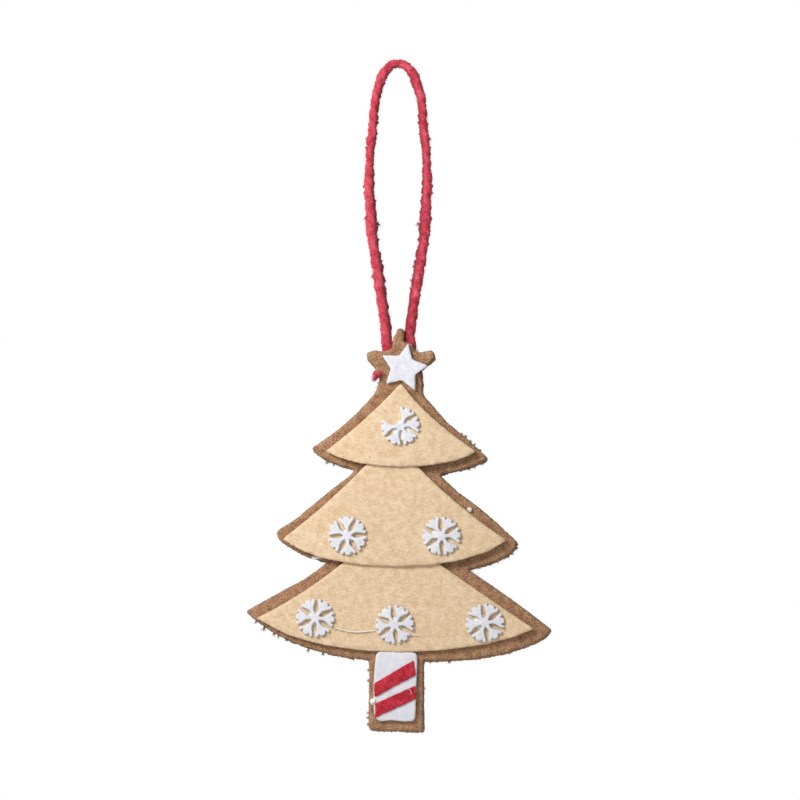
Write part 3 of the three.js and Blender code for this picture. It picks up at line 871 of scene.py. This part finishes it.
# A white felt star on the head, and a white label on the trunk with a wavy foot, both glued on.
# Two red felt stripes are glued across the label, slanting up to the right.
white_felt = felt_finish(
    "white_felt", tones=(tone(224, 225, 232), tone(236, 236, 242), tone(243, 243, 248)),
    hairs=(tone(206, 208, 216), tone(250, 250, 252)), grain=0.3 * mm, relief=0.08 * mm,
    turns=(0, 60, 120),
)
red_felt = felt_finish(
    "red_felt", tones=(tone(164, 20, 38), tone(202, 36, 56), tone(218, 60, 78)),
    hairs=(tone(128, 14, 30), tone(226, 96, 110)), grain=0.3 * mm, relief=0.12 * mm,
    turns=(15, 75, 135),
)
# Each piece's name, its thickness, how ragged it is, how far it is cut outside its node's outline,
# its felt and its slot
trims = {
    "star": ("white_star", 1 * mm, 0.05 * mm, 0.1 * mm, white_felt, "white_felt"),
    "trunk_label": ("white_label", 0.8 * mm, 0.08 * mm, 0, white_felt, "white_felt"),
    "stripe_upper": ("red_stripe_upper", 0.4 * mm, 0.2 * mm, 0.1 * mm, red_felt, "red_felt"),
    "stripe_lower": ("red_stripe_lower", 0.4 * mm, 0.2 * mm, 0.1 * mm, red_felt, "red_felt"),
}
# The stripes are pressed into the label, whose top edge is pulled up a little.
stripe_press = 0.2 * mm
label_rise = 0.35 * mm
label_give = 2 * mm


def pressed(flat, layer):
    """Lays a stripe back against the label."""
    return layer + stripe_press


for seed, (node_name, (name, thickness, ragged, grown, felt, slot)) in enumerate(trims.items()):
    piece, area, _ = cut_felt(
        name, node_name, thickness, cell=0.4 * mm, rim=0.1 * mm, ragged=ragged, seed=7.7 + seed,
        inset=-grown, settle=pressed if felt == red_felt else None,
    )
    if name == "white_label":
        label_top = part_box(node_name)[1].z
        for vertex in piece.data.vertices:
            near_top = max(0, 1 - (label_top - vertex.co.z) / label_give)
            vertex.co.z += label_rise * min(1, near_top)
        piece.data.update()
    fasten(piece, felt, slot, node_name)

# A loose white thread lies on the lower stripe.
stray_route = [
    (1.5, -3.2, -170.9), (2.0, -3.7, -170.5), (2.7, -3.8, -170.3), (3.3, -3.8, -170.7),
    (3.6, -3.8, -171.4), (3.6, -3.6, -172.3),
]
stray = [(Vector(place) * mm, 1) for place in stray_route]
fasten(thread("stray_fibre", [stray], 0.07 * mm, sides=6), white_felt, "white_felt")


# Six snowflakes are die-cut from thin white felt, each set on a dab of glue, with their arms
# lying down on the tier. One arm of the top one has broken off, and there the glue shows.
flake_thickness = 0.7 * mm
flake_radius = 5.5 * mm
arm_drop_share = 0.9
dab_height = 0.26 * mm
dab_share = 0.75
# Where glue has oozed out: how wide the dab is, as a share, and how far right and up it lies.
spilled = {
    "snowflake_top": (1.15, Vector((0.8, 0, -0.9)) * mm),
    "snowflake_middle_right": (0.6, Vector((-1.2, 0, 0.7)) * mm),
    "snowflake_bottom_right": (0.95, Vector((-1.3, 0, 0.2)) * mm),
}


def laid_on(front, middle):
    """A function that lays a snowflake on a tier: high on its glue, with its arms down."""
    def settle(flat, layer):
        out = min(1, (flat - middle).length / flake_radius)
        raised = dab_height * (1 - arm_drop_share * out * out)
        return front(flat) - flake_thickness / 2 - raised

    return settle


for seed, node_name in enumerate(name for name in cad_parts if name.startswith("snowflake")):
    tier_name = "tier_" + node_name.split("_")[1]
    front = tier_fronts[tier_name]
    low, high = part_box("glue_under_" + node_name)
    middle = Vector(((low.x + high.x) / 2, 0, (low.z + high.z) / 2))
    piece, area, _ = cut_felt(
        "felt_" + node_name, node_name, flake_thickness, cell=0.25 * mm, rim=0.1 * mm,
        ragged=0.12 * mm, seed=12.3 + seed, inset=0.14 * mm, settle=laid_on(front, middle),
    )
    fasten(piece, white_felt, "white_felt", node_name)
    grown, shift = spilled.get(node_name, (dab_share, Vector()))
    middle += shift
    above = Vector((0, 0, mm))
    lean = (front(middle + above) - front(middle - above)) / (2 * mm)
    middle.y = front(middle) - dab_height / 2
    size = Vector(((high.x - low.x) * grown, dab_height, (high.z - low.z) * grown))
    dab_nodes = ["glue_under_" + node_name]
    glue_drop("set_glue_under_" + node_name, middle, size, seed, lean, nodes=dab_nodes)


# Glue that got away: a bead at the middle tier's edge, a smear on the brown felt below it, a nub
# on the label's edge, and fine threads pulled across the bottom tier.
low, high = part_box("glue_bead")
glue_drop("set_glue_bead", (low + high) / 2, high - low, 31, uneven=0.15, nodes=["glue_bead"])
smear_place = Vector((-22.4, -2.35, -134.4)) * mm
smear_size = Vector((3.2, 0.4, 1.0)) * mm
glue_drop("set_glue_smear", smear_place, smear_size, seed=32)
nub_place = Vector((-6.7, -3.0, -174.1)) * mm
nub_size = Vector((1.5, 1.4, 2.1)) * mm
glue_drop("set_glue_nub", nub_place, nub_size, seed=33)
string_routes = [
    [
        (-17.6, -153.7), (-15.6, -154.2), (-13.2, -154.7), (-10.6, -154.8), (-8.2, -154.6),
        (-6.4, -154.3),
    ],
    [(3.4, -155.4), (4.4, -155.7), (5.6, -155.6)],
]
string_radius = 0.14 * mm
string_wave, string_wave_pitch = 0.12 * mm, 3 * mm
string_swell_share, string_swell_pitch = 0.5, 1.5 * mm
low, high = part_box("glue_string")
strands = []
for route in string_routes:
    line = smooth_line(route, line_step)
    strand = []
    for place in line:
        place.y = (low.y + high.y) / 2 + string_wave * noise.noise(place / string_wave_pitch)
        swell = string_swell_share * noise.noise(place / string_swell_pitch)
        strand.append((place, 1 + swell))
    strands.append(strand)
pulled = thread("set_glue_string", strands, string_radius, sides=8)
fasten(pulled, hot_glue, "hot_glue", "glue_string")
